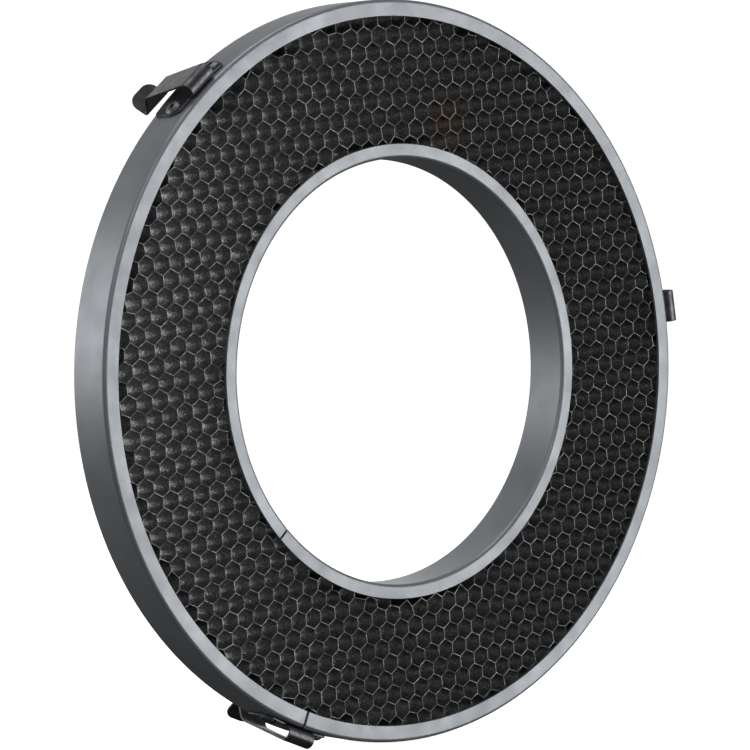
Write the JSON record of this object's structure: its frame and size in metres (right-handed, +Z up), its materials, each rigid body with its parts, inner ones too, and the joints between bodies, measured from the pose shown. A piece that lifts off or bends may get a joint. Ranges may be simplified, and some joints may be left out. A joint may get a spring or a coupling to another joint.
{
  "type": "honeycomb grid",
  "caption": "Ring-shaped honeycomb grid in rolled metal channels, with riveted spring clips that hook over a lamp's rim to narrow its beam.",
  "frame": {"origin": "centre of the ring, on the plane of its rear lips, where the lamp's rim seats", "axes": "+Y along the ring's axis towards the lamp, so the front faces -Y; +Z up; +X to the right seen from the front"},
  "size_m": [0.2608, 0.0382, 0.2561],
  "materials": {
    "channel_grey": "satin grey coat on rolled channel",
    "core_black": "matte black coated foil",
    "clip_steel": "satin blackened spring steel",
    "rivet_steel": "satin dark rivet",
    "mandrel_steel": "satin bare steel"
  },
  "bodies": {
    "frame": {"outer_channel": "channel_grey", "inner_channel": "channel_grey", "inner_joint_strap": "channel_grey", "honeycomb_core": "core_black", "clip_base_1": "clip_steel", "clip_base_2": "clip_steel", "clip_base_3": "clip_steel", "rivet_1a": "rivet_steel", "rivet_1b": "rivet_steel", "rivet_2a": "rivet_steel", "rivet_2b": "rivet_steel", "rivet_3a": "rivet_steel", "rivet_3b": "rivet_steel", "mandrel_1a": "mandrel_steel", "mandrel_1b": "mandrel_steel", "mandrel_2a": "mandrel_steel", "mandrel_2b": "mandrel_steel", "mandrel_3a": "mandrel_steel", "mandrel_3b": "mandrel_steel"},
    "arm_1": {"clip_arm_1": "clip_steel"},
    "arm_2": {"clip_arm_2": "clip_steel"},
    "arm_3": {"clip_arm_3": "clip_steel"}
  },
  "joints": [
    {"name": "clip_flex_1", "type": "hinge", "parent": "frame", "child": "arm_1", "pos_m": [0.12646, -0.0146, 0.02389], "axis": [0.1857, 0, -0.9826], "range_deg": [0, 10], "stiffness_Nm_per_rad": 0.5},
    {"name": "clip_flex_2", "type": "hinge", "parent": "frame", "child": "arm_2", "pos_m": [-0.08826, -0.0146, 0.09366], "axis": [0.7278, 0, 0.6858], "range_deg": [0, 10], "stiffness_Nm_per_rad": 0.5},
    {"name": "clip_flex_3", "type": "hinge", "parent": "frame", "child": "arm_3", "pos_m": [-0.0436, -0.0146, -0.12109], "axis": [-0.9409, 0, 0.3387], "range_deg": [0, 10], "stiffness_Nm_per_rad": 0.5}
  ]
}
